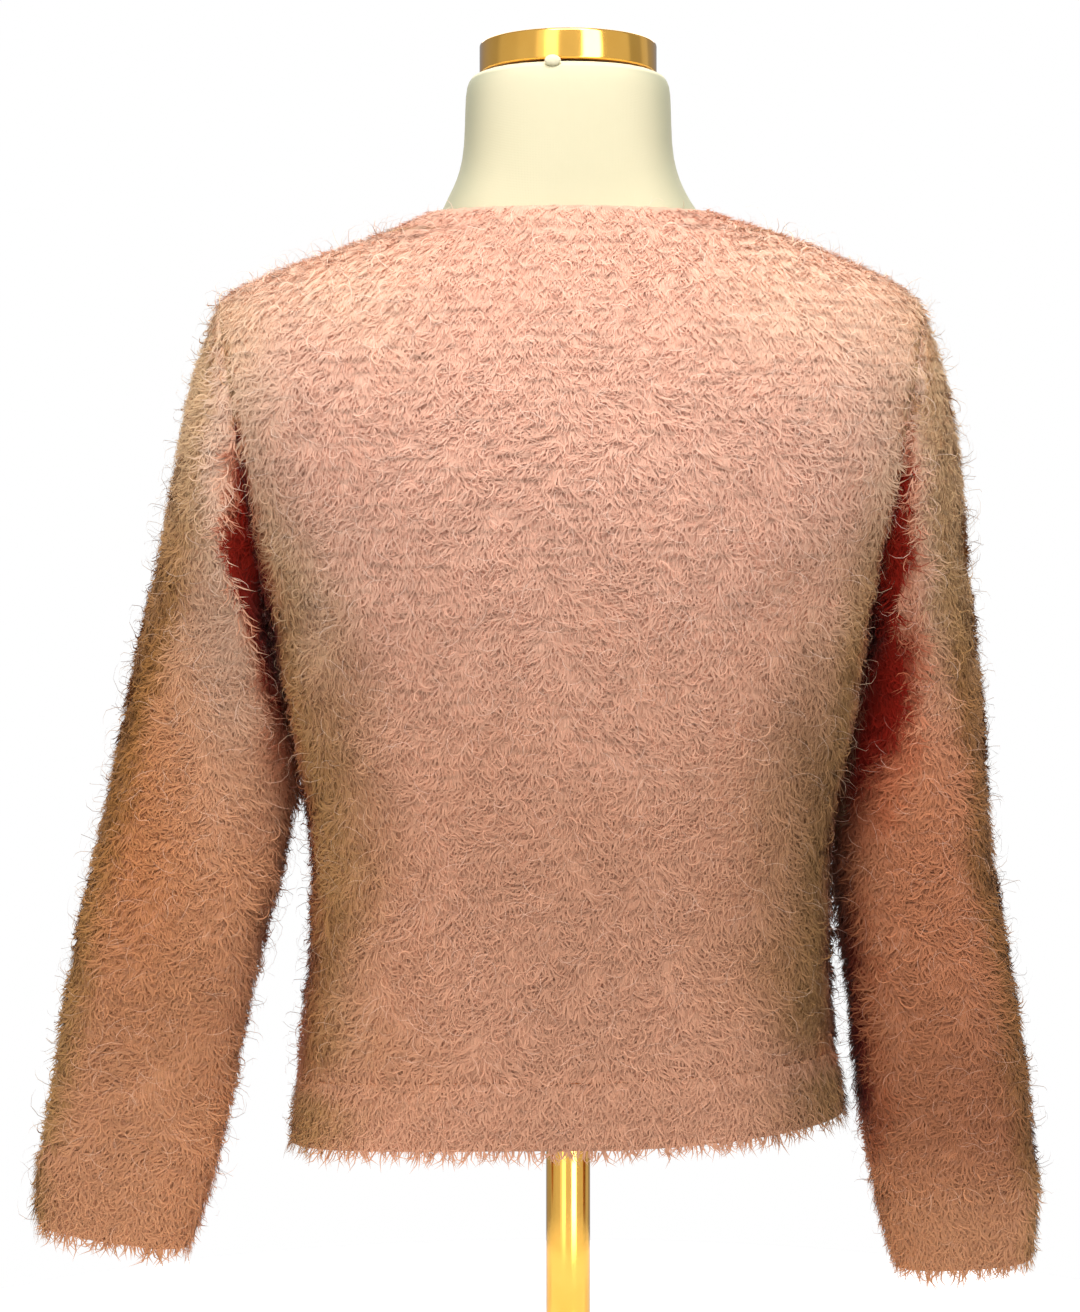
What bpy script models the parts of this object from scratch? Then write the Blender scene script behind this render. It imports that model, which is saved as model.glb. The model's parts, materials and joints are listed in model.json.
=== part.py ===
"""Fluffy long-sleeved pullover on a limbless dress form that stands on a pole and a round base.

Metres, +Z up, front towards -Y. The origin is the middle of the base's underside.
Tables are in millimetres, because that is how a pattern cutter writes them.
The wearer's left sleeve hangs at +X and the right sleeve at -X.
"""

import math
from collections import namedtuple

import bmesh
import bpy
from mathutils import Vector

MM = 0.001

# Cloth: a knitted ground with its pile, measured where the pile lies dense
KNIT = 3.0
PILE = 4.0
WALL = KNIT + PILE
SEAM = 0.3

# Heights of the sweater's seams
HEM = 163.0
HEM_SEAM = 199.0
ARMPIT = 452.0
SHOULDER = 632.0
NECK_SEAM = 672.0
NECK = 684.0

# The hem hangs lower on one side, and the neckline lower in front
HEM_SLOPE = 0.055
HEM_REACH = 160.0
NECK_SLOPE = 0.10

# Armhole seam: its half depth, and how much rounder it is at the shoulder than at the armpit
ARM_DEPTH = 60.0
ARM_LEAN = 0.22

# A level slice through the body is an oval with slightly squared corners
SQUARE = 0.93

# Mesh counts
PANEL_COLUMNS = 20
SIDE_ROWS = 7
ARMHOLE_ROWS = 12
SHOULDER_ROWS = 5
SLEEVE_RINGS = 15
RIBS_PER_COLUMN = 2
CUFF_RIBS = 24
FORM_POINTS = 28

# Ribbing: how far a rib stands proud of the valley beside it
RIB = 1.6
NECK_RIB = 1.2

# Dress form and stand: the cloth lies on its shoulders (REST) and stands off it lower down (FORM_ROOM)
REST = 0.6
FORM_ROOM = 3.0
FORM_BOTTOM = 200.0
CAP_RADIUS = 50.4
CAP_BOTTOM = 758.8
CAP_TOP = 776.0
CAP_EDGE = 2.5
POLE_RADIUS = 12.5
BASE_RADIUS = 130.0
BASE_HEIGHT = 12.0
BASE_EDGE = 3.0

# Half widths and depths of that oval. Beside an armhole the oval runs on out inside the sleeve,
# and the cloth stops where the oval meets the seam
Body = namedtuple("Body", "height left right front back")
BODY = (
    Body(155, 161.5, 160.5, 108, 110),
    Body(163, 160.5, 159.5, 108, 110),
    Body(199, 156.5, 154.5, 105, 107),
    Body(240, 152.5, 151.5, 102, 103),
    Body(290, 148.0, 151.0, 101, 99),
    Body(335, 150.0, 153.5, 104, 98),
    Body(380, 155.5, 160.0, 109, 100),
    Body(420, 163.5, 166.5, 114, 103),
    Body(452, 172.0, 172.5, 118, 106),
    Body(500, 191.0, 193.5, 121, 109),
    Body(545, 210.0, 214.0, 118, 110),
    Body(590, 220.0, 224.0, 108, 106),
    Body(620, 210.0, 212.5, 98, 99),
    Body(632, 200.0, 201.0, 93.5, 95.5),
    Body(640, 188.5, 192.0, 90, 92.5),
    Body(650, 166.0, 173.0, 85.5, 88.5),
    Body(660, 136.5, 150.0, 81, 84),
    Body(668, 115.0, 130.5, 77, 80),
    Body(675, 97.5, 106.0, 72.5, 75.5),
    Body(684, 77.5, 80.0, 66.5, 68.5),
)

# A sleeve's outer and inner outlines seen from the front, measured outwards from the middle,
# with its front and back depth, how far it hangs forward (-) or back (+), and its inner edge's own set-back
Sleeve = namedtuple("Sleeve", "along outer outer_z inner inner_z front back forward inner_back")
SLEEVE_RIGHT = (
    Sleeve(0.00, 200.0, 632, 172.0, 452, 60, 60, 0, 0),
    Sleeve(0.07, 213.5, 592, 173.5, 446, 58, 58, -2, 0),
    Sleeve(0.14, 221.5, 552, 173.5, 440, 57, 58, -3, 4),
    Sleeve(0.21, 231.0, 508, 170.0, 431, 56, 58, 0, 12),
    Sleeve(0.29, 240.5, 462, 166.0, 417, 54, 58, 4, 22),
    Sleeve(0.37, 250.0, 420, 162.5, 397, 52, 56, 8, 28),
    Sleeve(0.45, 259.0, 380, 156.5, 369, 50, 53, 8, 30),
    Sleeve(0.54, 267.5, 340, 156.0, 334, 48, 49, 4, 22),
    Sleeve(0.63, 275.5, 302, 163.0, 294, 46, 46, 0, 8),
    Sleeve(0.73, 284.5, 256, 175.0, 246, 43, 43, -4, 0),
    Sleeve(0.83, 292.0, 208, 184.5, 195, 39, 39, -5, 0),
    Sleeve(0.91, 298.0, 164, 194.0, 149, 35, 35, -5, 0),
    Sleeve(0.96, 306.0, 133, 203.0, 118, 33, 33, -4, 0),
    Sleeve(1.00, 303.5, 106, 212.5, 92, 29, 29, -4, 0),
)
SLEEVE_LEFT = (
    Sleeve(0.00, 201.0, 632, 172.5, 452, 60, 60, 0, 0),
    Sleeve(0.07, 216.0, 592, 174.5, 446, 57, 58, 2, 0),
    Sleeve(0.14, 224.5, 552, 174.5, 440, 55, 58, 6, 6),
    Sleeve(0.21, 229.5, 508, 172.0, 431, 53, 58, 10, 14),
    Sleeve(0.29, 232.5, 462, 169.5, 416, 50, 57, 14, 24),
    Sleeve(0.37, 235.5, 420, 168.5, 396, 48, 55, 16, 30),
    Sleeve(0.45, 239.5, 380, 161.0, 366, 46, 52, 16, 30),
    Sleeve(0.54, 243.5, 338, 154.0, 330, 45, 49, 15, 26),
    Sleeve(0.63, 249.0, 294, 152.5, 286, 44, 46, 12, 16),
    Sleeve(0.73, 256.5, 246, 158.0, 238, 42, 43, 8, 4),
    Sleeve(0.83, 263.0, 198, 160.5, 190, 39, 40, 5, 2),
    Sleeve(0.91, 268.0, 156, 166.0, 149, 36, 36, 3, 0),
    Sleeve(0.95, 270.5, 118, 173.5, 113, 33, 33, 2, 0),
    Sleeve(1.00, 266.5, 85, 184.0, 80, 29, 29, 2, 0),
)
CUFF_AT_RIGHT = 0.925
CUFF_AT_LEFT = 0.94

# Soft troughs along or across a sleeve. "around" is 0 at the underarm, +1 outside; front is -, back is +
Trough = namedtuple("Trough", "along around length width depth")
TROUGHS_RIGHT = (
    Trough(0.30, -0.62, 0.20, 0.13, 6.5),
    Trough(0.52, -0.30, 0.05, 0.22, 3.5),
    Trough(0.60, -0.70, 0.04, 0.20, 3.0),
    Trough(0.80, -0.45, 0.03, 0.30, 4.0),
    Trough(0.34, 0.60, 0.22, 0.14, 6.0),
    Trough(0.66, 0.45, 0.05, 0.26, 4.0),
    Trough(0.84, 0.60, 0.03, 0.24, 3.0),
)
TROUGHS_LEFT = (
    Trough(0.38, -0.80, 0.16, 0.10, 6.0),
    Trough(0.30, -0.36, 0.14, 0.14, 5.0),
    Trough(0.60, -0.42, 0.04, 0.26, 3.5),
    Trough(0.70, -0.60, 0.04, 0.22, 3.0),
    Trough(0.84, -0.50, 0.03, 0.28, 3.5),
    Trough(0.36, 0.62, 0.20, 0.13, 6.0),
    Trough(0.62, 0.40, 0.05, 0.26, 4.0),
    Trough(0.86, 0.55, 0.03, 0.22, 3.0),
)

# Soft troughs across the body's front and back, between two points (sideways, height)
Crease = namedtuple("Crease", "x0 z0 x1 z1 width depth")
CREASES_FRONT = (
    Crease(-168, 520, -96, 470, 13, 3.6),
    Crease(-160, 470, -104, 400, 12, 2.8),
    Crease(174, 545, 88, 500, 13, 3.6),
    Crease(166, 505, 92, 438, 12, 3.2),
    Crease(150, 430, 104, 372, 11, 2.6),
    Crease(-138, 300, -70, 268, 12, 2.2),
    Crease(140, 282, 62, 262, 12, 2.2),
)
CREASES_BACK = (
    Crease(-172, 540, -92, 496, 13, 3.6),
    Crease(-160, 480, -100, 420, 12, 3.0),
    Crease(172, 530, 94, 484, 13, 3.6),
    Crease(158, 462, 106, 396, 12, 2.8),
    Crease(-120, 318, -30, 300, 12, 2.6),
    Crease(124, 300, 40, 286, 12, 2.4),
)

# The dress form below its shoulders, and its neck: half widths and depths
Form = namedtuple("Form", "height side front back")
FORM_TORSO = (
    Form(200, 131, 85, 86),
    Form(206, 138, 91, 92),
    Form(240, 140, 91, 92),
    Form(290, 130, 88, 86),
    Form(325, 122, 87, 83),
    Form(370, 128, 93, 86),
    Form(420, 141, 101, 91),
    Form(470, 151, 108, 96),
    Form(520, 160, 108, 99),
    Form(560, 169, 102, 97),
    Form(594, 179, 92, 93),
    Form(610, 184, 86, 87),
    Form(621, 188, 82, 83),
)
FORM_NECK = (
    Form(687, 70.0, 57.4, 59.8),
    Form(694, 66.0, 57.0, 58.8),
    Form(704, 62.0, 57.0, 57.6),
    Form(717, 59.4, 57.0, 57.0),
    Form(742, 59.0, 57.0, 57.0),
    Form(751, 58.4, 56.4, 56.4),
    Form(756, 55.8, 54.0, 54.0),
    Form(758.5, 51.5, 50.0, 50.0),
)
FORM_TIP = 634.0


def column(rows, name, at):
    """A column of a table at any height, on a smooth curve through its rows."""
    keys = [row[0] for row in rows]
    values = [getattr(row, name) for row in rows]
    at = min(max(at, keys[0]), keys[-1])
    last = len(keys) - 1
    i = max(k for k in range(last) if keys[k] <= at)
    steps = [(values[k + 1] - values[k]) / (keys[k + 1] - keys[k]) for k in range(last)]

    def slope(k):
        if k in (0, last):
            return steps[min(k, last - 1)]
        before, after = steps[k - 1], steps[k]
        if before * after <= 0:
            return 0.0
        return 2 * before * after / (before + after)

    width = keys[i + 1] - keys[i]
    t = (at - keys[i]) / width
    start = values[i] * (1 + 2 * t) * (1 - t) ** 2 + slope(i) * width * t * (1 - t) ** 2
    end = values[i + 1] * t * t * (3 - 2 * t) - slope(i + 1) * width * t * t * (1 - t)
    return start + end


def fade(at, low, high):
    """0 up to low and 1 from high, smooth between them."""
    t = min(max((at - low) / (high - low), 0.0), 1.0)
    return t * t * (3 - 2 * t)


def level_height(level, x, y):
    """Height of a point of the row that is nominally at this level: rows tilt at the hem and the neck."""
    hem = HEM_SLOPE * (1 - fade(level, HEM_SEAM, 400.0))
    neck = NECK_SLOPE * fade(level, 610.0, NECK) * (1 - fade(level, 700.0, 742.0))
    return level + hem * x * abs(x) / HEM_REACH + neck * y


def arm_angle(level):
    """How far up the armhole a level is: 0 at the armpit, pi at the shoulder."""
    share = (level - ARMPIT) / (SHOULDER - ARMPIT)
    return math.acos(1 - 2 * min(max(share, 0.0), 1.0))


def crease_depth(face, x, level):
    """Depth of the soft troughs at a point of the front (-1) or back (+1)."""
    total = 0.0
    for crease in CREASES_FRONT if face < 0 else CREASES_BACK:
        along = Vector((crease.x1 - crease.x0, crease.z1 - crease.z0))
        here = Vector((x - crease.x0, level - crease.z0))
        t = here.dot(along) / along.length_squared
        off = (here - along * t).length / crease.width
        past = max(0.0, abs(t - 0.5) - 0.3) / 0.3
        total += crease.depth * math.exp(-off * off - past * past)
    return total


def body_point(face, across, level):
    """A point of the sweater's outside. face is -1 front or +1 back; across runs from -1 to 1."""
    side = -1 if across < 0 else 1
    half = column(BODY, "left" if side < 0 else "right", level)
    deep = column(BODY, "front" if face < 0 else "back", level)
    seam = ARM_DEPTH * math.sin(arm_angle(level)) * (1 - ARM_LEAN * math.cos(arm_angle(level)))
    end = math.acos(min((max(seam, 0.0) / deep) ** (1 / SQUARE), 1.0))
    angle = min(abs(across), 1.0) * end
    x = side * half * math.sin(angle) ** SQUARE
    y = deep * max(math.cos(angle), 0.0) ** SQUARE
    y = face * (y - crease_depth(face, x, level) * (1 - abs(across) ** 6))
    return Vector((x, y, level_height(level, x, y)))


def body_inward(face, across, level):
    """Unit direction from the outside into the cloth."""
    step, rise = 0.004, 0.4
    a, b = max(across - step, -1.0), min(across + step, 1.0)
    low, high = max(level - rise, BODY[0].height), min(level + rise, BODY[-1].height)
    sideways = body_point(face, b, level) - body_point(face, a, level)
    upwards = body_point(face, across, high) - body_point(face, across, low)
    inward = sideways.cross(upwards) * face
    if abs(across) > 0.999:
        inward.y = 0.0
        inward.x = -math.copysign(abs(inward.x), across)
    if level <= HEM_SEAM:
        inward.z = 0.0
    return inward.normalized()


def body_pair(face, across, level):
    """Outer and inner point of the cloth."""
    outer = body_point(face, across, level)
    inner = outer + body_inward(face, across, level) * WALL
    if level <= HEM_SEAM:
        inner.z = level_height(level, inner.x, inner.y)
    return outer, inner


def armhole_levels():
    """Row heights up the armhole, closer together at its two ends."""
    steps = range(ARMHOLE_ROWS + 1)
    return [ARMPIT + (SHOULDER - ARMPIT) * (1 - math.cos(math.pi * j / ARMHOLE_ROWS)) / 2 for j in steps]


def armhole(side):
    """The armhole seam as rings of outer and inner points: armpit, up the front, shoulder, down the back."""
    levels = armhole_levels()
    front = [body_point(-1, side, level) for level in levels]
    back = [body_point(1, side, level) for level in levels]
    outer = front + back[-2:0:-1]
    centre = (outer[0] + outer[ARMHOLE_ROWS]) / 2
    axis = (outer[ARMHOLE_ROWS] - outer[0]).cross(Vector((0, 1, 0))).normalized()
    return outer, inset(outer, centre, axis)


def inset(ring, centre, axis):
    """The ring moved inwards by the wall, in its own plane."""
    inner = []
    for i, point in enumerate(ring):
        tangent = ring[(i + 1) % len(ring)] - ring[i - 1]
        inward = tangent.cross(axis).normalized()
        inward *= -1 if inward.dot(centre - point) < 0 else 1
        inner.append(point + inward * WALL)
    return inner


def panel_levels():
    """Row heights of a front or back panel, from the hem seam to the neck seam."""
    side = [HEM_SEAM + (ARMPIT - HEM_SEAM) * i / SIDE_ROWS for i in range(SIDE_ROWS)]
    top = [SHOULDER + (NECK_SEAM - SHOULDER) * i / SHOULDER_ROWS for i in range(1, SHOULDER_ROWS + 1)]
    return side + armhole_levels() + top


def panel(name, face, material):
    """Front or back of the sweater: side seams, armholes, shoulder seams and neckline."""
    seams = {side: armhole(side) for side in (-1, 1)}
    shift = Vector((0, face * SEAM / 2, 0))
    outer, inner = [], []
    for row, level in enumerate(panel_levels()):
        pairs = []
        step = row - SIDE_ROWS
        in_armhole = 0 <= step <= ARMHOLE_ROWS
        for c in range(PANEL_COLUMNS + 1):
            across = 2 * c / PANEL_COLUMNS - 1
            out_point, in_point = body_pair(face, across, level)
            side = -1 if across < 0 else 1
            if in_armhole:
                index = step if face < 0 or step in (0, ARMHOLE_ROWS) else 2 * ARMHOLE_ROWS - step
                seam_out, seam_in = seams[side][0][index], seams[side][1][index]
                weight = fade(abs(across), 0.68, 1.0)
                direction = (in_point - out_point).lerp(seam_in - seam_out, weight).normalized()
                in_point = out_point + direction * WALL
            at_seam = abs(across) > 0.999 and not 0 < step < ARMHOLE_ROWS
            pairs.append((out_point + shift * at_seam, in_point + shift * at_seam))
        outer.append([p[0] for p in pairs])
        inner.append([p[1] for p in pairs])
    return solid_panel(name, outer, inner, material)


def solid_panel(name, outer, inner, material):
    """A closed wall between two grids of points."""
    rows, columns = len(outer), len(outer[0])
    points = [p for row in outer + inner for p in row]

    def at(layer, r, c):
        return (layer * rows + r) * columns + c

    faces = []
    for layer in (0, 1):
        for r in range(rows - 1):
            for c in range(columns - 1):
                faces.append((at(layer, r, c), at(layer, r, c + 1), at(layer, r + 1, c + 1), at(layer, r + 1, c)))
    edge = [(0, c) for c in range(columns)]
    edge += [(r, columns - 1) for r in range(1, rows)]
    edge += [(rows - 1, c) for c in range(columns - 2, -1, -1)]
    edge += [(r, 0) for r in range(rows - 2, 0, -1)]
    for a, b in zip(edge, edge[1:] + edge[:1]):
        faces.append((at(0, *a), at(0, *b), at(1, *b), at(1, *a)))
    return make_object(name, points, faces, material)


def solid_rings(name, rings, material, closed=True):
    """A closed body from rings of equal counts: a wall if the last ring joins the first, else capped ends."""
    count = len(rings[0])
    points = [p for ring in rings for p in ring]
    faces = []
    for r in range(len(rings) if closed else len(rings) - 1):
        here, there = r * count, (r + 1) % len(rings) * count
        for i in range(count):
            j = (i + 1) % count
            faces.append((here + i, here + j, there + j, there + i))
    if not closed:
        faces.append(tuple(range(count)))
        faces.append(tuple(range(len(points) - count, len(points))))
    return make_object(name, points, faces, material)


def make_object(name, points, faces, material):
    """A mesh object in metres, with its faces pointing out."""
    shape = bmesh.new()
    made = [shape.verts.new(p * MM) for p in points]
    for face in faces:
        shape.faces.new([made[i] for i in face])
    bmesh.ops.triangulate(shape, faces=[f for f in shape.faces if len(f.verts) == 4])
    bmesh.ops.recalc_face_normals(shape, faces=shape.faces)
    if shape.calc_volume(signed=True) < 0:
        bmesh.ops.reverse_faces(shape, faces=shape.faces)
    mesh = bpy.data.meshes.new(name)
    shape.to_mesh(mesh)
    shape.free()
    mesh.shade_smooth()
    mesh.set_sharp_from_angle(angle=math.radians(40))
    mesh.materials.append(material)
    obj = bpy.data.objects.new(name, mesh)
    bpy.context.scene.collection.objects.link(obj)
    return obj


def trough_depth(troughs, along, around):
    """Depth of a sleeve's soft troughs at a point of its outside."""
    total = 0.0
    for trough in troughs:
        far = ((along - trough.along) / trough.length) ** 2 + ((around - trough.around) / trough.width) ** 2
        total += trough.depth * math.exp(-far)
    return total


def sleeve_ring(side, along, angles, relief=0.0):
    """Outer and inner points of a ring of the sleeve. An angle is 0 at the underarm, going up the front."""
    rows = SLEEVE_LEFT if side > 0 else SLEEVE_RIGHT
    troughs = TROUGHS_LEFT if side > 0 else TROUGHS_RIGHT
    value = {name: column(rows, name, along) for name in Sleeve._fields[1:]}
    high = Vector((side * value["outer"], value["forward"], value["outer_z"]))
    low = Vector((side * value["inner"], value["forward"] + value["inner_back"], value["inner_z"]))
    centre, half = (high + low) / 2, (high - low).length / 2
    up = (high - low).normalized()
    deep = (Vector((0, 1, 0)) - up * up.y).normalized()
    lean = ARM_LEAN * (1 - fade(along, 0.0, 0.2))
    square = 1 - 0.16 * fade(along, 0.0, 0.15)
    smooth, outer = [], []
    for i, angle in enumerate(angles):
        c, s = math.cos(angle), math.sin(angle)
        bow = math.copysign(abs(c) ** square, -c) * half
        depth = value["front"] if s > 0 else value["back"]
        sag = -math.copysign(abs(s) ** square, s) * depth * (1 - lean * c)
        point = centre + up * bow + deep * sag
        around = (1 - c) / 2 * (-1 if s > 0 else 1)
        push = trough_depth(troughs, along, around)
        smooth.append(point + (centre - point).normalized() * push)
        rib = relief * (0.5 if i % 2 else -0.5)
        outer.append(smooth[-1] + (smooth[-1] - centre).normalized() * rib)
    return outer, inset(smooth, centre, up.cross(deep).normalized())


def ring_angles(count):
    return [2 * math.pi * i / count for i in range(count)]


def sleeve(name, side, material):
    """A sleeve from the armhole seam to the cuff seam."""
    seam_out, seam_in = armhole(side)
    away = Vector((side * SEAM, 0, 0))
    outer = [[p + away for p in seam_out]]
    inner = [[p + away for p in seam_in]]
    end = CUFF_AT_LEFT if side > 0 else CUFF_AT_RIGHT
    for i in range(1, SLEEVE_RINGS + 1):
        along = end * i / SLEEVE_RINGS
        ring_out, ring_in = sleeve_ring(side, along, ring_angles(2 * ARMHOLE_ROWS))
        outer.append(ring_out)
        inner.append(ring_in)
    return solid_rings(name, outer + inner[::-1], material)


def cuff(name, side, material):
    """The ribbed cuff, with its free edge drawn in a little."""
    angles = ring_angles(2 * CUFF_RIBS)
    start = CUFF_AT_LEFT if side > 0 else CUFF_AT_RIGHT
    top_out, top_in = sleeve_ring(side, start, angles)
    mid_out, _ = sleeve_ring(side, (start + 1) / 2, angles, RIB)
    end_out, end_in = sleeve_ring(side, 1.0, angles, RIB)
    centre = sum(end_out, Vector()) / len(end_out)
    drop = (centre - sum(top_out, Vector()) / len(top_out)).normalized() * SEAM
    rings = [[p + drop for p in top_out], mid_out, end_out]
    rings += [end_in, [p + drop for p in top_in]]
    return solid_rings(name, rings, material)


def round_the_body(level, ribs_per_column, relief=0.0, drop=0.0):
    """A whole ring of the body at one level, ribbed, as outer and inner points."""
    half = PANEL_COLUMNS * ribs_per_column
    stations = [(-1, 2 * i / half - 1) for i in range(half)]
    stations += [(1, 1 - 2 * i / half) for i in range(half)]
    outer, inner = [], []
    for i, (face, across) in enumerate(stations):
        out_point, in_point = body_pair(face, across, level)
        outward = (out_point - in_point).normalized()
        rib = relief * (0.5 if i % 2 else -0.5)
        outer.append(out_point + outward * rib - Vector((0, 0, drop)))
        inner.append(in_point - Vector((0, 0, drop)))
    return outer, inner


def hem_rib(name, material):
    """The ribbed band round the bottom."""
    ribs = 2 * RIBS_PER_COLUMN
    top_out, top_in = round_the_body(HEM_SEAM, ribs, drop=SEAM)
    mid_out, _ = round_the_body((HEM + HEM_SEAM) / 2, ribs, RIB)
    end_out, end_in = round_the_body(HEM, ribs, RIB)
    return solid_rings(name, [top_out, mid_out, end_out, end_in, top_in], material)


def on_chords(ring):
    """Every second point moved to the middle of its neighbours, so that the ring follows a panel's straight edges."""
    return [p if i % 2 == 0 else (ring[i - 1] + ring[(i + 1) % len(ring)]) / 2 for i, p in enumerate(ring)]


def neckband(name, material):
    """The narrow rib round the neck, with a rolled top edge."""
    ribs = RIBS_PER_COLUMN
    seam_out, seam_in = (on_chords(ring) for ring in round_the_body(NECK_SEAM, ribs))
    next_out, next_in = round_the_body(NECK_SEAM + 2, ribs)
    lift = [(b - a).normalized() * SEAM * 2 for a, b in zip(seam_out, next_out)]
    low_out = [p + up for p, up in zip(seam_out, lift)]
    low_in = [p + up for p, up in zip(seam_in, lift)]
    mid_out, _ = round_the_body((NECK_SEAM + NECK) / 2, ribs, NECK_RIB)
    top_out, top_in = round_the_body(NECK, ribs, NECK_RIB)
    crest = []
    for out_point, in_point in zip(top_out, top_in):
        inward = (in_point - out_point).normalized()
        level = Vector((inward.x, inward.y, 0)).normalized()
        crest.append((out_point + in_point) / 2 + (level + Vector((0, 0, 1))) * 1.2)
    return solid_rings(name, [low_out, mid_out, top_out, crest, top_in, low_in], material)


def oval(level, left, right, front, back, count, square=0.92):
    """A rounded ring of the dress form, with its own width to each side and depth to front and back."""
    ring = []
    for angle in ring_angles(count):
        c, s = math.cos(angle), math.sin(angle)
        x = math.copysign(abs(c) ** square, c) * (right if c > 0 else left)
        y = math.copysign(abs(s) ** square, s) * (back if s > 0 else front)
        ring.append(Vector((x, y, level_height(level, 0.0, y) if level > ARMPIT else level)))
    return ring


def shoulder_ring(level, room):
    """The dress form under the cloth: the cloth's own outline moved in by the wall, with this much room on top."""
    ring = []
    for angle in ring_angles(FORM_POINTS):
        face = 1 if angle <= math.pi else -1
        across = 1 - 2 * angle / math.pi if face > 0 else 2 * angle / math.pi - 3
        gap = room + (FORM_ROOM - room) * fade(1 - abs(across), 0.0, 0.2)
        ring.append(body_point(face, across, level) + body_inward(face, across, level) * (WALL + gap))
    return ring


def dress_form(name, material):
    """A plain torso with a neck and no limbs."""
    rings = [oval(r.height, r.side, r.side, r.front, r.back, FORM_POINTS) for r in FORM_TORSO]
    above = [level for level in panel_levels() if level > SHOULDER + 1] + [(NECK_SEAM + NECK) / 2, NECK]
    rings += [shoulder_ring(FORM_TIP, FORM_ROOM)] + [shoulder_ring(level, REST) for level in above]
    rings += [oval(r.height, r.side, r.side, r.front, r.back, FORM_POINTS) for r in FORM_NECK[:-1]]
    top = FORM_NECK[-1]
    flat_top = oval(top.height, top.side, top.side, top.front, top.back, FORM_POINTS)
    for point in flat_top:
        point.z = top.height
    return solid_rings(name, rings + [flat_top], material, closed=False)


def disc(name, radius, bottom, top, edge, count, material):
    """A flat round piece with a small rounded edge above and below."""
    profile = ((radius - edge, bottom), (radius, bottom + edge), (radius, top - edge), (radius - edge, top))
    rings = []
    for r, z in profile:
        rings.append([Vector((r * math.cos(a), r * math.sin(a), z)) for a in ring_angles(count)])
    return solid_rings(name, rings, material, closed=False)


def pole(name, material):
    """The tube between the base and the dress form."""
    bottom, top = BASE_HEIGHT + SEAM, FORM_BOTTOM - SEAM
    rings = []
    for z in (bottom, top):
        rings.append([Vector((POLE_RADIUS * math.cos(a), POLE_RADIUS * math.sin(a), z)) for a in ring_angles(24)])
    return solid_rings(name, rings, material, closed=False)


def finish(name, colour, roughness, metallic=0.0):
    """A plain material."""
    material = bpy.data.materials.new(name)
    material.use_nodes = True
    shader = material.node_tree.nodes["Principled BSDF"]
    shader.inputs["Base Color"].default_value = (*colour, 1.0)
    shader.inputs["Roughness"].default_value = roughness
    shader.inputs["Metallic"].default_value = metallic
    return material


def build():
    for obj in list(bpy.data.objects):
        bpy.data.objects.remove(obj)
    knit = finish("pink_pile_knit", (0.78, 0.40, 0.30), 0.9)
    rib = finish("pink_rib_knit", (0.74, 0.37, 0.28), 0.9)
    cover = finish("ivory_cover", (0.86, 0.83, 0.66), 0.7)
    gold = finish("gold_metal", (0.78, 0.52, 0.16), 0.25, 1.0)
    panel("front", -1, knit)
    panel("back", 1, knit)
    sleeve("sleeve_right", -1, knit)
    sleeve("sleeve_left", 1, knit)
    cuff("cuff_right", -1, rib)
    cuff("cuff_left", 1, rib)
    hem_rib("hem_rib", rib)
    neckband("neckband", rib)
    dress_form("dress_form", cover)
    disc("neck_cap", CAP_RADIUS, CAP_BOTTOM, CAP_TOP, CAP_EDGE, 40, gold)
    pole("pole", gold)
    disc("base", BASE_RADIUS, 0.0, BASE_HEIGHT, BASE_EDGE, 48, gold)


build()
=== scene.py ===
# %% [markdown]
# # A fluffy pullover on a dress form
# This lesson dresses a plain CAD model of a pullover: a salmon-pink knit with long soft hairs, worn
# by a dress form with an ivory cover and a gold neck cap. The CAD model gives every size and place.
# Here come the looks: knitted ground, pile, cover, metal, light and camera.

# %% Load the CAD model as a fixed frame
import json
import math
import random

import bmesh
import bpy
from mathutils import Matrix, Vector
from mathutils.bvhtree import BVHTree

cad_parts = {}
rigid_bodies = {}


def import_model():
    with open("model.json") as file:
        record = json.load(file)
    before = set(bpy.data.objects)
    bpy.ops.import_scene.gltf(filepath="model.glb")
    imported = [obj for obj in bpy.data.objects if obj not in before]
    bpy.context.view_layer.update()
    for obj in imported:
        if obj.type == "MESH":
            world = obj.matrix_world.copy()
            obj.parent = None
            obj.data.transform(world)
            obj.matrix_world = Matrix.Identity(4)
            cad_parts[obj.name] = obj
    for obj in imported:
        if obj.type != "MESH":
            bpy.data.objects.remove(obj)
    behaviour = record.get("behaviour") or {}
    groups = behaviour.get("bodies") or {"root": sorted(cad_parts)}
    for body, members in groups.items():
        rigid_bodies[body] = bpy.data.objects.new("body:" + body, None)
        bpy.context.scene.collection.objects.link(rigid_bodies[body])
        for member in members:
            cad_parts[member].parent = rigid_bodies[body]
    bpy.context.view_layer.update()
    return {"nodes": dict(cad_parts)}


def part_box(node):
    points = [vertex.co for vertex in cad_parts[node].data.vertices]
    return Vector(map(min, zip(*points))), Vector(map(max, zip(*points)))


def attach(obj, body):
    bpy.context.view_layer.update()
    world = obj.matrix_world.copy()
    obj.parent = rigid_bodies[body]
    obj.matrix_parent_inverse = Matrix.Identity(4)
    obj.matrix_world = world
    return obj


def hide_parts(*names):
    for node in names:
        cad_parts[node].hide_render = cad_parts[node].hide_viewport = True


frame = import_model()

print("nodes:", sorted(frame["nodes"]))

# %% [markdown]
# ## Camera
# The photograph was taken level with the wearer's waist from about 1.75 m. The cap's rim and the
# curve of the hem show that. The camera comes first, as every later look is judged through it.

# %% Place the camera
CAMERA_PLACE = (-0.016, -1.75, 0.428)
PHOTO_HEIGHT_ANGLE = math.radians(24.1)
SENSOR = 36.0


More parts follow.
